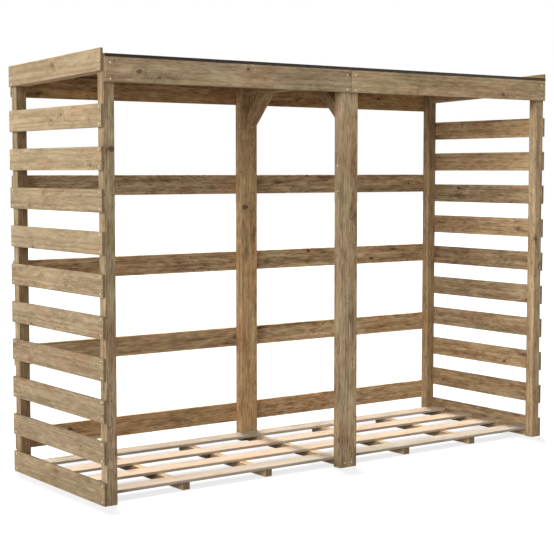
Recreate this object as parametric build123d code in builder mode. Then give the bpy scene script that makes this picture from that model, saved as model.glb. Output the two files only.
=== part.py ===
"""Open-fronted timber log store: two bays side by side under one lean-to roof.

Lengths are in millimetres and angles in degrees. X runs along the store, the open front
faces -Y, and +Z is up. The origin lies on the ground, at the middle of the footprint.
"""

import math
import os

from build123d import *

os.makedirs("parts", exist_ok=True)

# Overall sizes
store_width = 2420
frame_depth = 800
front_height = 1757
roof_pitch = 1.6

# Timber sections
post_size = 46
board_width = 90
board_thickness = 13
barge_width = 87
fascia_width = 95
rafter_width = 45
rafter_depth = 53
brace_size = 47
brace_leg = 174
bearer_width = 36
bearer_height = 32

# Rows of boards
side_slat_count = 10
barge_gap = 100
back_rail_count = 4
back_rail_foot = 91
top_rail_gap = 330
floor_slat_count = 4
bearer_place_shares = (0.33, 0.68)
bearer_setback = 10
butt_joint_gap = 2

# Twin-wall roof sheets, with cells that run down the slope
sheet_thickness = 12
sheet_skin = 0.8
cell_web = 0.8
cell_pitch = 10
barge_upstand = 22

# Planes that the pieces share
side_inner = store_width / 2 - board_thickness
frame_front = -frame_depth / 2
frame_back = frame_depth / 2
front_post_rear = frame_front + post_size
back_post_front = frame_back - post_size
fascia_front = frame_front - board_thickness
rail_back = frame_back + board_thickness
half_joint = butt_joint_gap / 2
pitch_cos = math.cos(math.radians(roof_pitch))
pitch_sin = math.sin(math.radians(roof_pitch))


def barge_top(y):
    """Height of the barge boards' upper edge, which falls evenly to the back."""
    return front_height - (y - frame_front) * pitch_sin / pitch_cos


def roof_underside(y):
    """Height of the face that the roof sheets lie on."""
    return barge_top(y) - barge_upstand - sheet_thickness / pitch_cos


def rafter_foot(y):
    """Height of the rafter's lower edge."""
    return roof_underside(y) - rafter_depth / pitch_cos


def save(piece, node):
    """Label a finished piece and write it under its node's name."""
    piece.part.label = node
    export_step(piece.part, f"parts/{node}.step")


def side_view_piece(node, outline, x_start, width):
    """A piece drawn from the side, as (y, z) points, and extruded along the store."""
    with BuildPart() as piece:
        with BuildSketch(Plane.YZ.offset(x_start)):
            with BuildLine():
                Polyline(*outline, close=True)
            make_face()
        extrude(amount=width)
    save(piece, node)


# Square posts at the corners, and a pair side by side in the middle where the two bays meet,
# all cut off along the roof's slope
post_places = {
    "left": -side_inner,
    "centre_left": -post_size,
    "centre_right": 0,
    "right": side_inner - post_size,
}
for row, y_front, y_rear in (
    ("front", frame_front, front_post_rear),
    ("back", back_post_front, frame_back),
):
    post_outline = [
        (y_front, 0),
        (y_rear, 0),
        (y_rear, roof_underside(y_rear)),
        (y_front, roof_underside(y_front)),
    ]
    for place, x_start in post_places.items():
        side_view_piece(f"{row}_{place}_post", post_outline, x_start, post_size)

# Side slats outside the posts, evenly spaced from the ground up to a sloping barge board
barge_drop = barge_width / pitch_cos
top_slat_foot = barge_top(frame_back) - barge_drop - barge_gap - board_width
side_slat_pitch = top_slat_foot / (side_slat_count - 1)
barge_outline = [
    (frame_front, barge_top(frame_front) - barge_drop),
    (frame_back, barge_top(frame_back) - barge_drop),
    (frame_back, barge_top(frame_back)),
    (frame_front, barge_top(frame_front)),
]
for side, x_start in (("left", -store_width / 2), ("right", side_inner)):
    for number in range(side_slat_count):
        slat_middle = number * side_slat_pitch + board_width / 2
        with BuildPart() as slat:
            with BuildSketch(Plane.YZ.offset(x_start)):
                with Locations((0, slat_middle)):
                    Rectangle(frame_depth, board_width)
            extrude(amount=board_thickness)
        save(slat, f"{side}_slat_{number + 1:02d}")
    side_view_piece(f"{side}_barge_board", barge_outline, x_start, board_thickness)

# Front fascia in two lengths that meet where the centre posts meet
fascia_foot = roof_underside(fascia_front) - fascia_width
fascia_outline = [
    (fascia_front, fascia_foot),
    (frame_front, fascia_foot),
    (frame_front, roof_underside(frame_front)),
    (fascia_front, roof_underside(fascia_front)),
]
board_run = side_inner - half_joint
side_view_piece("left_fascia", fascia_outline, -side_inner, board_run)
side_view_piece("right_fascia", fascia_outline, half_joint, board_run)

# Back rails behind the posts, each row in two lengths that meet where the centre posts meet
half_board_middle = half_joint + board_run / 2
top_rail_foot = roof_underside(rail_back) - fascia_width
last_rail_foot = top_rail_foot - top_rail_gap - board_width
back_rail_pitch = (last_rail_foot - back_rail_foot) / (back_rail_count - 1)
for number in range(back_rail_count):
    rail_middle = back_rail_foot + number * back_rail_pitch + board_width / 2
    with BuildPart() as back_rail:
        with BuildSketch(Plane.XZ.offset(-frame_back)):
            with Locations((-half_board_middle, rail_middle), (half_board_middle, rail_middle)):
                Rectangle(board_run, board_width)
        extrude(amount=-board_thickness)
    save(back_rail, f"back_rail_{number + 1}")

top_rail_outline = [
    (frame_back, top_rail_foot),
    (rail_back, top_rail_foot),
    (rail_back, roof_underside(rail_back)),
    (frame_back, roof_underside(frame_back)),
]
side_view_piece("back_top_rail_left", top_rail_outline, -side_inner, board_run)
side_view_piece("back_top_rail_right", top_rail_outline, half_joint, board_run)

# Rafters between the front and back posts, of which the end ones lie against the barge boards
rafter_outline = [
    (front_post_rear, rafter_foot(front_post_rear)),
    (back_post_front, rafter_foot(back_post_front)),
    (back_post_front, roof_underside(back_post_front)),
    (front_post_rear, roof_underside(front_post_rear)),
]
rafter_places = {
    "left": -side_inner,
    "centre": -rafter_width / 2,
    "right": side_inner - rafter_width,
}
for place, x_start in rafter_places.items():
    side_view_piece(f"{place}_rafter", rafter_outline, x_start, rafter_width)

# Braces at half a right angle, which hold the centre rafter's ends
brace_cut = brace_size * math.sqrt(2)
for row, y_post, inward in (("front", front_post_rear, 1), ("back", back_post_front, -1)):
    y_outer = y_post + inward * brace_leg
    y_inner = y_outer - inward * brace_cut
    brace_tip = rafter_foot(y_post) - brace_leg
    brace_outline = [
        (y_post, brace_tip),
        (y_outer, rafter_foot(y_outer)),
        (y_inner, rafter_foot(y_inner)),
        (y_post, brace_tip + brace_cut),
    ]
    side_view_piece(f"{row}_brace", brace_outline, -brace_size / 2, brace_size)

# Bearers on the ground: the middle and end ones butt against the posts, the rest stop short of them
floor_depth = back_post_front - front_post_rear
end_bearer = side_inner - bearer_width / 2
free_bearers = [end_bearer * share for share in bearer_place_shares]
with BuildPart() as floor_bearers:
    with BuildSketch():
        with Locations((-end_bearer, 0), (0, 0), (end_bearer, 0)):
            Rectangle(bearer_width, floor_depth)
        with Locations([(sign * x, 0) for x in free_bearers for sign in (-1, 1)]):
            Rectangle(bearer_width, floor_depth - 2 * bearer_setback)
    extrude(amount=bearer_height)
save(floor_bearers, "floor_bearers")

# Floor slats on the bearers, each row in two lengths that meet on the middle bearer
floor_slat_pitch = (floor_depth - board_width) / (floor_slat_count - 1)
for number in range(floor_slat_count):
    y_middle = front_post_rear + board_width / 2 + number * floor_slat_pitch
    with BuildPart() as floor_slat:
        with BuildSketch(Plane.XY.offset(bearer_height)):
            with Locations((-half_board_middle, y_middle), (half_board_middle, y_middle)):
                Rectangle(board_run, board_width)
        extrude(amount=board_thickness)
    save(floor_slat, f"floor_slat_{number + 1}")

# Roof sheets between the barge boards: the section across the slope, with its row of cells,
# is carried down the slope from the fascia's front to the top rail's back
sheet_start = fascia_front + sheet_thickness / 2 * pitch_sin
sheet_core = roof_underside(sheet_start) + sheet_thickness / 2 / pitch_cos
sheet_length = (rail_back - fascia_front - sheet_thickness * pitch_sin) / pitch_cos
cell_count = math.floor((board_run - cell_web) / cell_pitch)
for side, x_middle in (("left", -half_board_middle), ("right", half_board_middle)):
    eaves_plane = Plane(
        origin=(x_middle, sheet_start, sheet_core),
        x_dir=(1, 0, 0),
        z_dir=(0, pitch_cos, -pitch_sin),
    )
    with BuildPart() as roof_sheet:
        with BuildSketch(eaves_plane):
            Rectangle(board_run, sheet_thickness)
            with GridLocations(cell_pitch, sheet_thickness, cell_count, 1):
                Rectangle(cell_pitch - cell_web, sheet_thickness - 2 * sheet_skin, mode=Mode.SUBTRACT)
        extrude(amount=sheet_length)
    save(roof_sheet, f"{side}_roof_sheet")
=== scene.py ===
# %% [markdown]
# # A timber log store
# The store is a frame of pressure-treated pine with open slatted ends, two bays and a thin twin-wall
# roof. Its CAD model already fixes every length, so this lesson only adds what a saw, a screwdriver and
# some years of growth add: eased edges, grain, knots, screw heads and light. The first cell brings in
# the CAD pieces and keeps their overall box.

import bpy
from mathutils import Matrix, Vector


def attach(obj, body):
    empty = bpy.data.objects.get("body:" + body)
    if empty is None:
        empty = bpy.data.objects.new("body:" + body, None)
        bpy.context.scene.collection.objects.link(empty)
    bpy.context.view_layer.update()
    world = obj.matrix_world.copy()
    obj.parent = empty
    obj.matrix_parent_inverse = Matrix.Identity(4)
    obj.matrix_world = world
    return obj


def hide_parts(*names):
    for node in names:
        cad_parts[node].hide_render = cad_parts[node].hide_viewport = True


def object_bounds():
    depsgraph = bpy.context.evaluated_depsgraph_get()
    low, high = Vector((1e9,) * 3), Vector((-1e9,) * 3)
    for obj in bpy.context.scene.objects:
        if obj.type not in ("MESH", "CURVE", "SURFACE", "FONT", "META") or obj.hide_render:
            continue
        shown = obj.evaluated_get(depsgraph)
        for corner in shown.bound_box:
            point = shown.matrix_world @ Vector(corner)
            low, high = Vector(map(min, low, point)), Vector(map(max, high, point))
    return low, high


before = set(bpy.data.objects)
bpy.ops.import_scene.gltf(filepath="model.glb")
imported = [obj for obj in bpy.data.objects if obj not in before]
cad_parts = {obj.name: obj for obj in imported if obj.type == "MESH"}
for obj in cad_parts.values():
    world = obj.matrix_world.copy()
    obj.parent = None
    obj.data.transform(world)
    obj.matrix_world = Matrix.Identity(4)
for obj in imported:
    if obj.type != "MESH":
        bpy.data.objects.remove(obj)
cad_low, cad_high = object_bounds()
cad_size = [round(high - low, 3) for low, high in zip(cad_low, cad_high)]
print("CAD pieces:", len(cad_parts), "box in metres:", cad_size)

# %% [markdown]
# ## Find the corners of each timber
# Every post, board, bearer and brace is a straight length of timber with eight corners, although some
# ends are cut on a slope. The corners could be typed in again, but reading them from the CAD keeps the
# two models the same. Timbers that share a node lie in a row along X, or are alone in it, so sorting the
# corner points by X takes them one after another.

# %% Read the corners
import numpy as np


def timber_corners(node):
    """Corners of the timbers in a node, as (timber, low or high end in X, place round that end, xyz).

    The points are sorted by X and cut into groups of four, and each group is put in order by its angle
    about its middle.
    """
    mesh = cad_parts[node].data
    points = np.empty(len(mesh.vertices) * 3)
    mesh.vertices.foreach_get("co", points)
    ends = np.unique(points.reshape(-1, 3).round(5), axis=0).reshape(-1, 2, 4, 3)
    out = ends - ends.mean(axis=2, keepdims=True)
    turn = np.argsort(np.arctan2(out[..., 2], out[..., 1]), axis=2)
    return np.take_along_axis(ends, turn[..., None], axis=2)


timber_nodes = sorted(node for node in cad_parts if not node.endswith("roof_sheet"))
corner_sets = {node: timber_corners(node) for node in timber_nodes}
print("timbers:", sum(len(corners) for corners in corner_sets.values()))

# %% [markdown]
# ## Work inside a block
# A timber with a sloping end is a block whose eight corners are pushed about a little. A place in it can
# be given as three shares, one for each direction, and mixed from the corners in proportion. A lattice
# modifier does the same, but two short functions keep the lengths at hand for the grain.

# %% Measure and fill a block


def block_sides(corners):
    """Mean lengths of a block's sides in its three directions."""
    return np.array([
        np.linalg.norm(corners[1] - corners[0], axis=1).mean(),
        np.linalg.norm(corners[:, [1, 2]] - corners[:, [0, 3]], axis=2).mean(),
        np.linalg.norm(corners[:, [3, 2]] - corners[:, [0, 1]], axis=2).mean(),
    ])


def between_corners(corners, share):
    """Places in a block: its eight corners, each weighed by the product of the shares toward it."""
    u, v, w = np.moveaxis(share, 2, 0)[..., None]
    low_end, high_end = (
        (1 - v) * (1 - w) * end[0] + v * (1 - w) * end[1] + v * w * end[2] + (1 - v) * w * end[3]
        for end in corners
    )
    return (1 - u) * low_end + u * high_end


print("sides of a fascia in metres:", block_sides(corner_sets["left_fascia"][0]).round(3))

# %% [markdown]
# ## Ease the edges
# A planing machine takes the sharp corner off a board, which leaves a narrow round that catches the
# light. A Bevel modifier could do it, but a section with round corners, carried from one end to the
# other, also tells us where each point lies along, across and through the timber. The grain needs those
# three distances later.

# %% Make one eased timber
edge_round = 0.0022
arc_steps = 4
length_steps = 6
end_face_angle = 0.2


def eased_timber(corners):
    """A rounded rectangle carried along the longest side of a block.

    The section at a station is the inner rectangle's corner plus the round's radius times the cosine and
    sine of the angle. Near an end the radius shrinks along a quarter circle. The three distances, as
    shares of the sides, are then mixed between the corners, so that a sloping cut stays one.
    """
    sides = block_sides(corners)
    through, across, along = np.argsort(sides, kind="stable")
    angle = np.linspace(0, np.pi / 2, arc_steps)
    angle = (np.arange(4)[:, None] * np.pi / 2 + angle).ravel()
    quarter = np.repeat(np.array([[1, 1], [-1, 1], [-1, -1], [1, -1]]), arc_steps, axis=0)
    inner = quarter * (sides[[across, through]] / 2 - edge_round)
    lift = np.linspace(end_face_angle, np.pi / 2, arc_steps)
    start = edge_round * (1 - np.cos(lift))
    plain_run = np.linspace(edge_round, sides[along] - edge_round, length_steps + 1)[1:-1]
    station = np.concatenate([start, plain_run, sides[along] - start[::-1]])
    radius = np.full(len(station), edge_round)
    radius[:arc_steps] *= np.sin(lift)
    radius[-arc_steps:] = radius[:arc_steps][::-1]
    section = inner + radius[:, None, None] * np.stack([np.cos(angle), np.sin(angle)], axis=1)

    grain = np.empty(section.shape[:2] + (3,))
    grain[..., 0] = station[:, None]
    grain[..., 1:] = section
    share = np.empty_like(grain)
    share[..., along] = grain[..., 0] / sides[along]
    share[..., across] = grain[..., 1] / sides[across] + 0.5
    share[..., through] = grain[..., 2] / sides[through] + 0.5
    points = between_corners(corners, share)

    number = np.arange(section.shape[0] * section.shape[1]).reshape(section.shape[:2])
    beside = np.roll(number, -1, axis=1)
    quads = np.stack([number[:-1], beside[:-1], beside[1:], number[1:]], axis=2).reshape(-1, 4)
    caps = np.stack([number[0][::-1], number[-1]])
    if (along, across, through) not in ((0, 1, 2), (1, 2, 0), (2, 0, 1)):
        quads = quads[:, ::-1]
        caps = caps[:, ::-1]
    at_cut = np.zeros(section.shape[:2])
    at_cut[[0, -1]] = 1
    return points.reshape(-1, 3), quads, caps, grain.reshape(-1, 3), at_cut.ravel()


trial = eased_timber(corner_sets["left_fascia"][0])
print("one timber:", len(trial[0]), "points,", len(trial[1]) + len(trial[2]), "faces")

# %% [markdown]
# ## Choose a tone and painted light for each timber
# Boards from one load still differ: some are paler, some greener from the treatment, some warmer, and
# some show more figure. A table of usual looks for each group of timbers keeps that in one place, and a
# random change on top makes two neighbours differ. The table's brightness and warmth also hold painted
# light and shade, set group by group: darker and warmer where a part stands in shade, paler where it
# stands in light. The faces of the posts that look out at the ends and the back get a painted light, and
# the faces of the front centre posts that look into the bays get a painted shade.

# %% Choose the looks
# Words in a name, then brightness, grey-green cast, warmth and strength of figure. The first fit counts.
# Brightness and warmth are partly painted light and shade, fitted group by group.
timber_looks = {
    "left_slat_10": (1.11, 0.35, 0.05, 0.8),
    "left_slat_09": (1.11, 0.35, 0.05, 0.8),
    "left_slat_08": (0.97, 0.40, 0.10, 0.8),
    "left_slat_07": (0.97, 0.40, 0.10, 0.8),
    "left_slat_06": (0.99, 0.40, 0.10, 0.9),
    "left_slat": (0.89, 0.40, 0.12, 1.2),
    "left_barge": (1.06, 0.35, 0.05, 0.8),
    "right_slat_10": (1.14, 0.35, 0.50, 1.5),
    "right_slat_09": (1.10, 0.35, 0.50, 1.4),
    "right_slat_07": (1.00, 0.35, 0.50, 1.8),
    "right_slat_03": (0.86, 0.35, 0.50, 1.8),
    "right_slat": (0.74, 0.35, 0.45, 1.7),
    "right_barge": (0.97, 0.35, 0.60, 1.2),
    "fascia": (1.05, 0.60, 0.20, 1.2),
    "front_brace": (0.66, 0.30, 0.40, 1.2),
    "front_centre": (0.97, 0.35, 0.28, 1.6),
    "front_right": (0.97, 0.45, 0.25, 1.5),
    "front_": (0.80, 0.45, 0.25, 1.6),
    "back_top_rail": (1.04, 0.10, 1.15, 1.6),
    "back_rail": (1.17, 0.35, 0.40, 1.8),
    "back_centre": (1.18, 0.20, 0.65, 1.5),
    "back_left": (0.50, 0.20, 0.60, 1.5),
    "back_right": (0.82, 0.20, 0.65, 1.6),
    "back_": (0.94, 0.20, 0.65, 1.5),
    "left_rafter": (1.45, 0.20, 0.50, 1.0),
    "rafter": (0.92, 0.30, 0.55, 1.3),
    "floor_bearers": (1.22, 0.40, 0.20, 1.2),
    "floor_slat_1": (0.77, 0.80, 0.00, 1.0),
    "floor_slat_2": (0.98, 0.10, 0.80, 1.0),
    "floor_slat_3": (0.98, 0.10, 0.85, 1.0),
    "floor_slat_4": (1.12, 0.80, 0.05, 1.0),
}
look_spread = (0.035, 0.12, 0.07, 0.1)
# The first tone is painted light on the posts' outer faces, the second painted shade on the faces of the
# front centre posts that look into the bays.
painted_light_face_tone = (0.92, 0.40, 0.15)
painted_shade_face_tone = (0.72, 0.35, 0.28)
end_plane = corner_sets["front_right_post"][..., 0].max()
back_plane = corner_sets["back_right_post"][..., 1].max()
bay_plane = corner_sets["front_centre_right_post"][..., 0].max()
plane_slack = 1e-5


def usual_look(node):
    """The look whose words are the first to be found in the node's name."""
    return next(look for words, look in timber_looks.items() if words in node)


def face_tones_and_light(node, points, look):
    """The timber's brightness, cast and warmth at its points, changed where they lie on a post's face.

    A point is on the outside if it reaches the posts' end plane or back plane, and gets a painted light
    there.
    It is in a bay if it reaches the bay plane of the centre posts and lies in the front half, and gets a
    painted shade there.
    """
    tones_and_shade = np.repeat(look[None, :3], len(points), axis=0)
    if node.endswith("_post"):
        aside = abs(points[:, 0])
        outside = (aside > end_plane - plane_slack) | (points[:, 1] > back_plane - plane_slack)
        in_bay = (abs(aside - bay_plane) < plane_slack) & (points[:, 1] < 0)
        tones_and_shade[outside] = painted_light_face_tone
        tones_and_shade[in_bay] = painted_shade_face_tone
    return tones_and_shade


print("looks:", len(timber_looks), "for", len(timber_nodes), "timber pieces")

# %% [markdown]
# ## Give each timber its own place in a tree
# No two boards come from the same spot in a log. Each timber gets a random stretch along the trunk and a
# random distance from the pith, besides its tone and painted light. They are kept as attributes on the
# points, because an attribute travels with the mesh, whereas object coordinates would run the grain of
# every board in the same direction.

# %% Build all the timbers
import bpy

growth = np.random.default_rng(41)
nearest_pith = (3, -0.03, 0.02)
furthest_pith = (60, 0.03, 0.09)


def keep_attribute(mesh, name, kind, key, values):
    """Store one value for each point of the mesh, under a name that a material can read."""
    mesh.attributes.new(name, kind, "POINT").data.foreach_set(key, np.concatenate(values).ravel())


def build_timber(node):
    """Join the eased timbers of a node into one mesh, and keep grain, tone, figure and cut ends on it."""
    points, faces, grains, tones_and_shade, figures, cuts = [], [], [], [], [], []
    for corners in corner_sets[node]:
        point, quads, caps, grain, at_cut = eased_timber(corners)
        first = sum(len(earlier) for earlier in points)
        faces += (quads + first).tolist() + (caps + first).tolist()
        pith = growth.uniform(nearest_pith, furthest_pith) * (1, 1, growth.choice((-1, 1)))
        look = np.maximum(growth.normal(usual_look(node), look_spread), 0)
        points.append(point)
        grains.append(grain + pith)
        tones_and_shade.append(face_tones_and_light(node, point, look))
        figures.append(np.full(len(point), look[3]))
        cuts.append(at_cut)
    mesh = bpy.data.meshes.new("timber_" + node)
    mesh.from_pydata(np.concatenate(points).tolist(), [], faces)
    keep_attribute(mesh, "grain", "FLOAT_VECTOR", "vector", grains)
    keep_attribute(mesh, "tone_and_shade", "FLOAT_VECTOR", "vector", tones_and_shade)
    keep_attribute(mesh, "figure", "FLOAT", "value", figures)
    keep_attribute(mesh, "cut", "FLOAT", "value", cuts)
    timber = bpy.data.objects.new("timber_" + node, mesh)
    bpy.context.scene.collection.objects.link(timber)
    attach(timber, "root")
    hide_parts(node)
    return timber


timbers = {node: build_timber(node) for node in timber_nodes}
face_count = sum(len(timber.data.polygons) for timber in timbers.values())
print("timber pieces:", len(timbers), "faces:", face_count)

# %% [markdown]
# ## A way to write shader sums
# A finish is a sum of many small patterns, and a node tree hides such a sum in a tangle of links. One
# small class wraps a socket, so that plain arithmetic adds Math nodes, and one method adds any other
# node.

# %% Wrap a socket


class Field:
    """A socket of a node tree. Arithmetic on fields adds Math nodes."""

    def __init__(self, tree, socket=None):
        self.tree = tree
        self.socket = socket

    def node(self, kind, settings=None, sockets=None, out=0):
        """Add a node, with its settings first, then a value or link for each socket. Returns an output."""
        made = self.tree.nodes.new(kind)
        for name, value in (settings or {}).items():
            setattr(made, name, value)
        for name, value in (sockets or {}).items():
            if isinstance(value, Field):
                self.tree.links.new(value.socket, made.inputs[name])
            else:
                made.inputs[name].default_value = value
        return Field(self.tree, made.outputs[out])

    def output(self, name):
        """Another output of the same node."""
        return Field(self.tree, self.socket.node.outputs[name])

    def feed(self, target):
        """Link the field to a socket that is there already, such as a shader's."""
        self.tree.links.new(self.socket, target)

    def math(self, operation, first, second=0.0):
        """A Math node on fields or numbers."""
        return self.node("ShaderNodeMath", {"operation": operation}, {0: first, 1: second})

    def __add__(self, other):
        return self.math("ADD", self, other)

    __radd__ = __add__

    def __sub__(self, other):
        return self.math("SUBTRACT", self, other)

    def __rsub__(self, other):
        return self.math("SUBTRACT", other, self)

    def __mul__(self, other):
        return self.math("MULTIPLY", self, other)

    __rmul__ = __mul__

    def __truediv__(self, other):
        return self.math("DIVIDE", self, other)

    def __pow__(self, other):
        return self.math("POWER", self, other)

    def step(self, low, high):
        """A smooth rise from 0 at low to 1 at high."""
        settings = {"interpolation_type": "SMOOTHSTEP"}
        return self.node("ShaderNodeMapRange", settings, {"Value": self, "From Min": low, "From Max": high})

    def mix(self, factor, first, second, blend="MIX"):
        """Two colours mixed by a factor, which may be a field or a number."""
        settings = {"data_type": "RGBA", "blend_type": blend}
        return self.node("ShaderNodeMix", settings, {0: factor, 6: first, 7: second}, out=2)


def new_finish(name):
    """A material, its surface shader and a field to start from."""
    material = bpy.data.materials.new(name)
    material.use_nodes = True
    return material, material.node_tree.nodes["Principled BSDF"], Field(material.node_tree)


print("methods of a field:", [name for name in vars(Field) if not name.startswith("__")])

# %% [markdown]
# ## Knots
# A knot is a branch that the trunk grew round: a dark, ragged oval on a face, which goes some way into
# the board. Spots painted on each face would not meet at the edges. Cells in three dimensions do, because
# the board is cut out of them: each cell has one point, and some of the points are knots.

# %% Grow the knots
knots_per_metre = (4.6, 17.0, 9.0)
knot_squeeze_along = 0.62
knot_squeeze_through = 0.4
knot_slant = 0.8
knot_raggedness = 0.008
smallest_knot = 0.0028
knot_size_range = 0.0075


def stretched(place, along, across, through):
    """A place in the timber, scaled along, across and through it."""
    settings = {"operation": "MULTIPLY"}
    return place.node("ShaderNodeVectorMath", settings, {0: place, 1: (along, across, through)})


def noise(grain, along, across, detail=2.0):
    """Noise about zero, with so many spots to the metre along and across the timber."""
    sockets = {"Vector": stretched(grain, along, across, across), "Scale": 1.0, "Detail": detail}
    return grain.node("ShaderNodeTexNoise", {"noise_dimensions": "3D"}, sockets) - 0.5


def knots(grain, share):
    """The dark cores of the knots and the halos round them, both from 0 to 1, in a share of the cells.

    The reach is the distance from the cell's point, squeezed along and through the timber, slanted at
    random, with noise for a ragged edge. Divided by the knot's random size, it gives core and halo.
    """
    cells = {"Vector": stretched(grain, *knots_per_metre), "Scale": 1.0}
    spot = grain.node("ShaderNodeTexVoronoi", {"voronoi_dimensions": "3D"}, cells)
    chance = grain.node("ShaderNodeSeparateColor", sockets={0: spot.output("Color")})
    knot_place = stretched(spot.output("Position"), *(1 / count for count in knots_per_metre))
    from_knot = grain.node("ShaderNodeVectorMath", {"operation": "SUBTRACT"}, {0: grain, 1: knot_place})
    away = grain.node("ShaderNodeSeparateXYZ", sockets={0: from_knot})
    along = away * knot_squeeze_along
    across = away.output("Y") + away * (chance.output("Blue") - 0.5) * knot_slant
    through = away.output("Z") * knot_squeeze_through
    reach = (along * along + across * across + through * through) ** 0.5
    reach = reach + noise(grain, 60.0, 90.0) * knot_raggedness
    has_knot = chance.step(1.0 - share, 1.02 - share)
    sizes_away = reach / (smallest_knot + chance.output("Green") * knot_size_range)
    core = has_knot * (1.0 - sizes_away.step(0.55, 1.1))
    halo = has_knot * (1.0 - sizes_away.step(0.8, 3.4))
    return core, halo


print("cells for knots to the metre, along, across and through:", knots_per_metre)

# %% [markdown]
# ## Growth rings
# A year of growth starts pale and ends dark, and then the next one starts at once. Cut lengthwise, the
# rings show as long pointed arches. A picture of wood would repeat and would not turn the corner on to
# the cut end. Rings worked out as distances from the pith show on the face, the edge and the end alike.

# %% Grow the rings
ring_width = 0.0085
slow_ripple = 0.018
quick_ripple = 0.004
knot_push = 0.011


def late_rings(grain, knot_halo):
    """The dark late wood, from 0 to 1: a slow rise and a quick fall over each ring width.

    The radius is the distance from the pith, with two ripples, and the knots push the rings outward.
    """
    place = grain.node("ShaderNodeSeparateXYZ", sockets={0: grain})
    across, deep = place.output("Y"), place.output("Z")
    ripple = noise(grain, 1.6, 10.0) * slow_ripple + noise(grain, 7.0, 32.0) * quick_ripple
    radius = (across * across + deep * deep) ** 0.5 + ripple + knot_halo * knot_push
    ring = grain.node("ShaderNodeMath", {"operation": "FRACT"}, {0: radius / ring_width})
    return ring.step(0.25, 0.84) * (1.0 - ring.step(0.84, 1.0))


print("ring width in millimetres:", ring_width * 1000)

# %% [markdown]
# ## Pine, sawn and treated
# Between knots and rings, a board shows fine fibres, streaks, dark flecks, and the grey-green and pink
# clouds that the treatment leaves. Each is a noise of its own, drawn out along the grain, and a small
# table gives its spots to the metre and its weight. Together they darken red less than blue, as wood
# does, so that the figure looks brown and not grey. Cut ends drink in more of the treatment and are
# darker.

# %% Write the pine finish
# Spots to the metre along and across the timber, and the weight in the figure
wood_patterns = {
    "fibre": (14.0, 620.0, 0.4),
    "hairline": (24.0, 190.0, 0.9),
    "streak": (2.4, 70.0, 0.9),
    "mottle": (15.0, 50.0, 0.75),
    "cloud": (4.5, 17.0, 0.65),
}
late_wood_share = 0.6
streak_share = 0.22
halo_share = 0.35
grey_green_wash = (0.72, 0.78, 0.74, 1.0)
pink_wash = (0.98, 0.86, 0.82, 1.0)
pink_share = 0.8
brown_leans = (0.85, 1.0, 1.15)
fleck_share = 0.42
cut_end_darkness = (0.42, 0.38, 0.34)
cut_end_share = 0.62


def pine_finish(name, early, late, knot, warm, knot_share, contrast):
    """Rings, fibres, clouds and knots, mixed into a base colour, a roughness and a bump."""
    material, shader, make = new_finish(name)
    grain = make.node("ShaderNodeAttribute", {"attribute_name": "grain"}, out="Vector")
    tone_and_shade = make.node("ShaderNodeAttribute", {"attribute_name": "tone_and_shade"}, out="Vector")
    figure = make.node("ShaderNodeAttribute", {"attribute_name": "figure"}, out="Fac") * contrast
    cut = make.node("ShaderNodeAttribute", {"attribute_name": "cut"}, out="Fac")
    brightness = make.node("ShaderNodeSeparateXYZ", sockets={0: tone_and_shade})
    grey_green = brightness.output("Y")
    warmth = brightness.output("Z")

    knot_core, knot_halo = knots(grain, knot_share)
    late_wood = late_rings(grain, knot_halo)
    patterns = {word: noise(grain, *spots) for word, (*spots, weight) in wood_patterns.items()}
    fibre = patterns["fibre"]
    streak = patterns["streak"]
    tint = noise(grain, 4.0, 11.0, detail=1.0)
    fleck = noise(grain, 48.0, 130.0).step(0.07, 0.19) * noise(grain, 5.0, 15.0).step(-0.04, 0.10)

    lateness = late_wood * late_wood_share + streak.step(-0.1, 0.25) * streak_share
    wood = make.mix(lateness + knot_halo * halo_share, early, late)
    wood = make.mix(tint.step(0.0, 0.28) * grey_green, wood, grey_green_wash, "MULTIPLY")
    wood = make.mix((1.0 - tint.step(-0.25, 0.02)) * pink_share, wood, pink_wash, "MULTIPLY")
    # The warmth is partly painted warm shade: parts that stand in shade are made warmer.
    wood = make.mix(warmth, wood, warm, "MULTIPLY")
    grown = 1.0 + figure * sum(patterns[word] * row[-1] for word, row in wood_patterns.items())
    # The brightness is partly painted light and shade, fitted group by group.
    shades = {channel: brightness * grown**lean for channel, lean in enumerate(brown_leans)}
    wood = make.mix(1.0, wood, make.node("ShaderNodeCombineColor", sockets=shades), "MULTIPLY")
    wood = make.mix(fleck * figure * fleck_share, wood, knot)
    wood = make.mix(knot_core * (0.3 + figure * 0.4), wood, knot)
    cut_end = tuple(part * share for part, share in zip(late, cut_end_darkness)) + (1.0,)
    wood = make.mix(cut * cut_end_share, wood, cut_end)
    wood.feed(shader.inputs["Base Color"])

    roughness = 0.66 + fibre * 0.1 - knot_core * 0.15
    roughness.feed(shader.inputs["Roughness"])
    height = fibre * 0.5 + late_wood * 0.35 - knot_core * 0.5
    bump = make.node("ShaderNodeBump", sockets={"Strength": 0.25, "Distance": 0.0006, "Height": height})
    bump.feed(shader.inputs["Normal"])
    shader.inputs["Specular IOR Level"].default_value = 0.3
    return material


print("patterns in the figure:", list(wood_patterns))

# %% [markdown]
# ## Two kinds of pine
# The frame is treated pine, brown with dark knots. The floor slats are planed and left untreated, so they
# are paler, with few knots and a weak figure, and part of their paleness is painted light, for the strong
# light that falls on them from above. One function with two sets of colours makes both.

# %% Finish the timbers
treated_pine = pine_finish(
    "treated_pine",
    early=(0.470, 0.358, 0.218, 1.0),
    late=(0.325, 0.228, 0.128, 1.0),
    knot=(0.095, 0.052, 0.028, 1.0),
    warm=(1.0, 0.80, 0.57, 1.0),
    knot_share=0.75,
    contrast=0.95,
)
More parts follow.
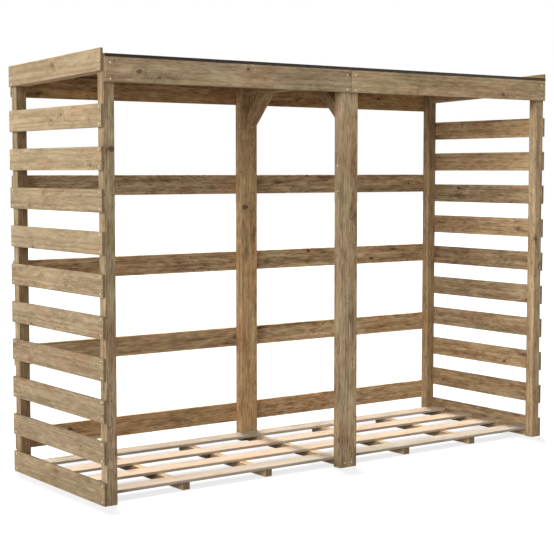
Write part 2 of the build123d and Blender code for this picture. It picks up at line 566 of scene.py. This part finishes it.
# The floor slats' colours are raised in part as painted light, for the strong light from above.
pale_pine = pine_finish(
    "pale_pine",
    early=(0.63, 0.53, 0.415, 1.0),
    late=(0.54, 0.41, 0.295, 1.0),
    knot=(0.22, 0.13, 0.08, 1.0),
    warm=(1.0, 0.92, 0.84, 1.0),
    knot_share=0.30,
    contrast=0.4,
)
for node, timber in timbers.items():
    timber.data.materials.append(pale_pine if node.startswith("floor_slat") else treated_pine)
print("pine finishes:", [material.name for material in (treated_pine, pale_pine)])

# %% [markdown]
# ## Screw heads
# Two screws hold each board end to its post. A countersunk head is a shallow dome with a cross cut into
# it. It could be a cylinder with a cutter, but a dome is a surface of revolution, and pressing the cross
# into its height takes one more line. The rim goes a little way into the timber and is closed there, so
# that each head is a solid. The same small grid is then placed at every screw at once.

# %% Shape a screw head
head_radius = 0.0043
ring_shares = np.array([0.18, 0.36, 0.55, 0.75, 0.92, 1.0, 1.0])
head_turns = 24
dome_rise = 0.0012
rim_rise = 0.0002
rim_foot = -0.0005
recess_depth = 0.0009
recess_half_width = 0.14
recess_reach = 0.62


def screw_head():
    """One head on a grid of radius and angle: a dome of height 1 - share squared, less a cross.

    The cross is where the smaller of x and y is narrow and the larger one is short of the recess's reach.
    """
    angle = np.linspace(0, 2 * np.pi, head_turns, endpoint=False)
    share = ring_shares[:, None]
    x, y = share * np.cos(angle), share * np.sin(angle)
    narrow = np.minimum(abs(x), abs(y)) < recess_half_width
    recess = narrow & (np.maximum(abs(x), abs(y)) < recess_reach)
    height = dome_rise * (1 - share**2) + rim_rise - recess_depth * recess
    height[-1] = rim_foot
    points = np.stack([x * head_radius, y * head_radius, height], axis=2).reshape(-1, 3)
    points = np.concatenate([points, [[0, 0, dome_rise + rim_rise - recess_depth]]])
    ring = np.arange(len(ring_shares) * head_turns).reshape(-1, head_turns)
    after = np.roll(ring, -1, axis=1)
    quads = np.stack([ring[:-1], ring[1:], after[1:], after[:-1]], axis=2).reshape(-1, 4)
    tips = np.stack([np.full(head_turns, len(points) - 1), ring[0], after[0]], axis=1)
    return points, quads, tips, ring[-1:, ::-1]


def screw_heads(places, facing, upright):
    """A head at each place, turned by a random angle about the direction that it faces."""
    places = np.asarray(places, dtype=float)
    dome, quads, tips, foot = screw_head()
    spin = np.random.default_rng(len(places)).uniform(0, np.pi / 2, len(places))[:, None]
    turned_x = dome[:, 0] * np.cos(spin) - dome[:, 1] * np.sin(spin)
    turned_y = dome[:, 0] * np.sin(spin) + dome[:, 1] * np.cos(spin)
    beside = np.cross(upright, facing)
    points = places[:, None] + turned_x[..., None] * beside + turned_y[..., None] * np.asarray(upright)
    points = points + dome[None, :, 2, None] * np.asarray(facing)
    first = np.arange(len(places))[:, None, None] * len(dome)
    faces = []
    for group in (quads, tips, foot):
        faces += (first + group).reshape(-1, group.shape[1]).tolist()
    return points.reshape(-1, 3), faces


points_per_head = len(screw_head()[0])
print("points of one head:", points_per_head)

# %% [markdown]
# ## Where the screws go
# The screws follow the boards: a pair at each crossing of a board and a post, and a few that hold the
# two front centre posts. They could be placed one by one by hand. Taking their places from the middles
# and faces of the CAD timbers leaves only small distances to give here.

# %% Place the screws
slat_lifts = (-0.031, 0.033)
barge_lifts = (-0.008, -0.036)
fascia_lifts = (0.025, -0.0365)
rail_lifts = (0.028, -0.028)
toward_edge = 0.006
foot_spots = (-0.019, 0.019)
foot_height = 0.020
pair_heights = (1.316, 1.207)
upward = (0, 0, 1)


def middle(node):
    """The middle point of the first timber of a node."""
    return corner_sets[node][0].reshape(-1, 3).mean(axis=0)


def side_screws(side, sign):
    """Screws through the slats and the barge board of one end. The barge board's pairs follow its fall."""
    plane = sign * cad_high[0]
    post_y = (middle(f"front_{side}_post")[1] - toward_edge, middle(f"back_{side}_post")[1])
    slat_z = [middle(node)[2] for node in timber_nodes if node.startswith(side + "_slat")]
    places = [(plane, y, z + lift) for y in post_y for z in slat_z for lift in slat_lifts]
    barge = corner_sets[side + "_barge_board"][0].reshape(-1, 3)
    ahead = barge[:, 1] < 0
    run = barge[ahead].mean(axis=0) - barge[~ahead].mean(axis=0)
    levels = [(y, barge[:, 2].mean() + y * run[2] / run[1]) for y in post_y]
    places += [(plane, y, level + lift) for y, level in levels for lift in barge_lifts]
    return screw_heads(places, (sign, 0, 0), upward)


post_x = [middle(f"front_{place}_post")[0] for place in ("left", "centre_left", "centre_right", "right")]
fascia_front = corner_sets["left_fascia"][..., 1].min()
fascia_z = middle("left_fascia")[2]
rail_back = corner_sets["back_rail_1"][..., 1].max()
rail_nodes = [node for node in timber_nodes if node.startswith("back_rail")] + ["back_top_rail_left"]
rail_z = [middle(node)[2] for node in rail_nodes]
post_front = corner_sets["front_left_post"][..., 1].min()
pair_y = middle("front_centre_left_post")[1]
fascia_places = [(x, fascia_front, fascia_z + lift) for x in post_x for lift in fascia_lifts]
rail_places = [(x, rail_back, z + lift) for x in post_x for z in rail_z for lift in rail_lifts]
foot_places = [(x, post_front, foot_height) for x in foot_spots]
pair_places = [(-bay_plane, pair_y, z) for z in pair_heights]
screw_sets = {
    "left_end_screws": side_screws("left", -1),
    "right_end_screws": side_screws("right", 1),
    "fascia_screws": screw_heads(fascia_places, (0, -1, 0), upward),
    "back_rail_screws": screw_heads(rail_places, (0, 1, 0), upward),
    "post_foot_screws": screw_heads(foot_places, (0, -1, 0), upward),
    "post_pair_screws": screw_heads(pair_places, (-1, 0, 0), upward),
}
print("screws:", {name: len(points) // points_per_head for name, (points, faces) in screw_sets.items()})

# %% [markdown]
# The two braces are each held by a screw near either end, driven through the sloping underside. That
# face runs from the brace's lowest corner to the corner that is furthest from the post. All the heads
# then get one finish, a yellow-plated steel, which needs no pattern at this size.

# %% Add the brace screws and finish them
slant = np.sqrt(0.5)
brace_shares = (0.14, 0.86)
for row, toward in (("front", 1), ("back", -1)):
    brace = corner_sets[row + "_brace"][0].mean(axis=0)
    lowest = brace[np.argmin(brace[:, 2])]
    furthest = brace[np.argmax(brace[:, 1] * toward)]
    places = [lowest + (furthest - lowest) * share for share in brace_shares]
    facing = (0, toward * slant, -slant)
    screw_sets[row + "_brace_screws"] = screw_heads(places, facing, (0, toward * slant, slant))

screw_metal, screw_shader, _ = new_finish("screw_metal")
screw_shader.inputs["Base Color"].default_value = (0.78, 0.66, 0.44, 1.0)
screw_shader.inputs["Metallic"].default_value = 0.75
screw_shader.inputs["Roughness"].default_value = 0.38
for name, (points, faces) in screw_sets.items():
    mesh = bpy.data.meshes.new(name)
    mesh.from_pydata(points.tolist(), [], faces)
    mesh.materials.append(screw_metal)
    heads = bpy.data.objects.new(name, mesh)
    bpy.context.scene.collection.objects.link(heads)
    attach(heads, "root")
print("all screws:", sum(len(points) for points, faces in screw_sets.values()) // points_per_head)

# %% [markdown]
# ## Smoked twin-wall sheet
# The roof sheets keep their CAD shape, because the row of cells along the front edge is already there.
# The plastic is smoked: each skin lets most of the light through, the walls between the cells get a bright
# bronze that is painted light, for the light shining through them from above, and the cut edges look
# nearly black. A dark tape closes the cells at both ends.
# Tracing real refraction through hundreds of thin walls would be slow and noisy, so a low alpha on the
# skins and a full one on walls, tape and cut edges give the same picture.

# %% Finish the roof sheets
skin_alpha = 0.13
skin_colour = (0.030, 0.027, 0.024, 1.0)
cut_edge_colour = (0.090, 0.080, 0.070, 1.0)
# The walls' bronze is painted light: it stands in for light shining through the walls from above.
wall_colour = (0.52, 0.35, 0.18, 1.0)
taped_wall_colour = (0.16, 0.13, 0.10, 1.0)
tape_start = cad_high[1] - 0.033
tape_full = tape_start + 0.002

smoked_sheet, sheet_shader, sheet_make = new_finish("smoked_sheet")
surface_turn = sheet_make.node("ShaderNodeNewGeometry", out="Normal")
turn_x = sheet_make.node("ShaderNodeSeparateXYZ", sockets={0: surface_turn})
turn_y = turn_x.output("Y")
cut_edge = (turn_y * turn_y).step(0.5, 0.9)
wall = (turn_x * turn_x).step(0.5, 0.9)
sheet_place = sheet_make.node("ShaderNodeTexCoord", out="Object")
down_slope = sheet_make.node("ShaderNodeSeparateXYZ", sockets={0: sheet_place}).output("Y")
end_tape = down_slope.step(tape_start, tape_full) + (0.0 - down_slope).step(tape_start, tape_full)
solid = (cut_edge + wall + end_tape).step(0.0, 1.0)
sheet_alpha = skin_alpha + solid * (1.0 - skin_alpha)
sheet_alpha.feed(sheet_shader.inputs["Alpha"])
sheet_colour = sheet_make.mix(cut_edge, skin_colour, cut_edge_colour)
sheet_colour = sheet_make.mix(wall, sheet_colour, sheet_make.mix(end_tape, wall_colour, taped_wall_colour))
sheet_colour.feed(sheet_shader.inputs["Base Color"])
sheet_shader.inputs["Roughness"].default_value = 0.45
sheet_shader.inputs["Specular IOR Level"].default_value = 0.05
for node in ("left_roof_sheet", "right_roof_sheet"):
    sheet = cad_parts[node]
    sheet.data.materials.clear()
    sheet.data.materials.append(smoked_sheet)
print("roof sheet alpha, skin and cut edge:", skin_alpha, 1.0)

# %% [markdown]
# ## Light
# The store stands in a bright studio. One narrow light shines almost straight down through the roof, and
# a broad soft one comes from the left. A sun lamp with a wide angle is soft without falling off across a
# store more than two metres long, which a lamp close by would do.

# %% Hang the lights
import math


def add_sun(name, toward_light, strength, spread):
    """A sun lamp shining from a direction, with its spread in degrees."""
    lamp = bpy.data.lights.new(name, "SUN")
    lamp.energy = strength
    lamp.angle = math.radians(spread)
    sun = bpy.data.objects.new(name, lamp)
    x, y, z = toward_light
    sun.rotation_euler = (math.atan2(math.hypot(x, y), z), 0, math.atan2(x, -y))
    bpy.context.scene.collection.objects.link(sun)


add_sun("overhead", (0.04, 0.085, 1.0), strength=7.5, spread=3.0)
add_sun("left_soft", (-1.0, -0.45, 0.30), strength=3.0, spread=45)
print("lights:", [light.name for light in bpy.data.lights])

# %% [markdown]
# ## White ground
# The ground is plain white to the camera and keeps a faint shadow of the store. A white floor would also
# throw much light up under the boards. So it is pale and glowing only where the camera looks at it, and a
# dark grey for the light that bounces.

# %% Lay the ground
ground_reach = 40.0
ground_level = -0.0005
bounce_grey = 0.15
seen_grey = 0.95
glow_share = 0.78

ground_mesh = bpy.data.meshes.new("ground")
ground_signs = ((-1, -1), (1, -1), (1, 1), (-1, 1))
ground_corners = [(x * ground_reach, y * ground_reach, ground_level) for x, y in ground_signs]
ground_mesh.from_pydata(ground_corners, [], [(0, 1, 2, 3)])
ground = bpy.data.objects.new("ground", ground_mesh)
bpy.context.scene.collection.objects.link(ground)
ground_white, ground_shader, ground_make = new_finish("ground_white")
looked_at = ground_make.node("ShaderNodeLightPath", out="Is Camera Ray")
paleness = bounce_grey + looked_at * (seen_grey - bounce_grey)
ground_colour = ground_make.node("ShaderNodeCombineColor", sockets={0: paleness, 1: paleness, 2: paleness})
ground_colour.feed(ground_shader.inputs["Base Color"])
ground_shader.inputs["Roughness"].default_value = 0.9
ground_shader.inputs["Specular IOR Level"].default_value = 0.0
ground_lit = Field(ground_white.node_tree, ground_shader.outputs[0])
ground_glow = ground_make.node("ShaderNodeEmission", sockets={"Strength": 1.0})
ground_parts = {0: looked_at * glow_share, 1: ground_lit, 2: ground_glow}
ground_look = ground_make.node("ShaderNodeMixShader", sockets=ground_parts)
ground_look.feed(ground_white.node_tree.nodes["Material Output"].inputs["Surface"])
ground_mesh.materials.append(ground_white)
print("ground in metres:", 2 * ground_reach, "square")

# %% [markdown]
# ## Backdrop
# A world that is white to the eye would also light the store from all round and flatten it. The light
# path tells the two apart: white for what the camera sees, straight, in a reflection or through a clear
# piece, and a low even fill for the rest.

# %% Set the backdrop
fill_strength = 0.2

studio = bpy.data.worlds.new("studio")
bpy.context.scene.world = studio
studio.use_nodes = True
backdrop = studio.node_tree.nodes["Background"]
backdrop.inputs["Color"].default_value = (1.0, 1.0, 1.0, 1.0)
ray = Field(studio.node_tree).node("ShaderNodeLightPath", out="Is Camera Ray")
seen = (ray + ray.output("Is Glossy Ray") + ray.output("Is Transmission Ray")).step(0.0, 0.5)
backdrop_strength = fill_strength + seen * (1.0 - fill_strength)
backdrop_strength.feed(backdrop.inputs["Strength"])
print("backdrop strength, fill and seen:", fill_strength, 1.0)

# %% [markdown]
# ## Camera
# The photo was taken from the left front, at chest height, with a long lens. The place and the lens were
# worked out from the pixels of the posts' and boards' corners, so that the picture lies over the photo.

# %% Place the camera
camera_place = (-3.724889, -4.975213, 1.289702)
downward_tilt = 4.412
turn_to_right = 36.12

lens = bpy.data.cameras.new("photo_camera")
lens.lens = 88.648
lens.sensor_width = 36.0
photo_camera = bpy.data.objects.new("photo_camera", lens)
photo_camera.location = camera_place
photo_camera.rotation_euler = (math.radians(90 - downward_tilt), 0, math.radians(-turn_to_right))
bpy.context.scene.collection.objects.link(photo_camera)
bpy.context.scene.camera = photo_camera
bpy.context.scene.view_settings.view_transform = "Standard"
print("camera:", tuple(round(value, 3) for value in photo_camera.location), "lens:", lens.lens)

# %% [markdown]
# ## Size
# The finished looks should fill the same box as the CAD, give or take a screw head.
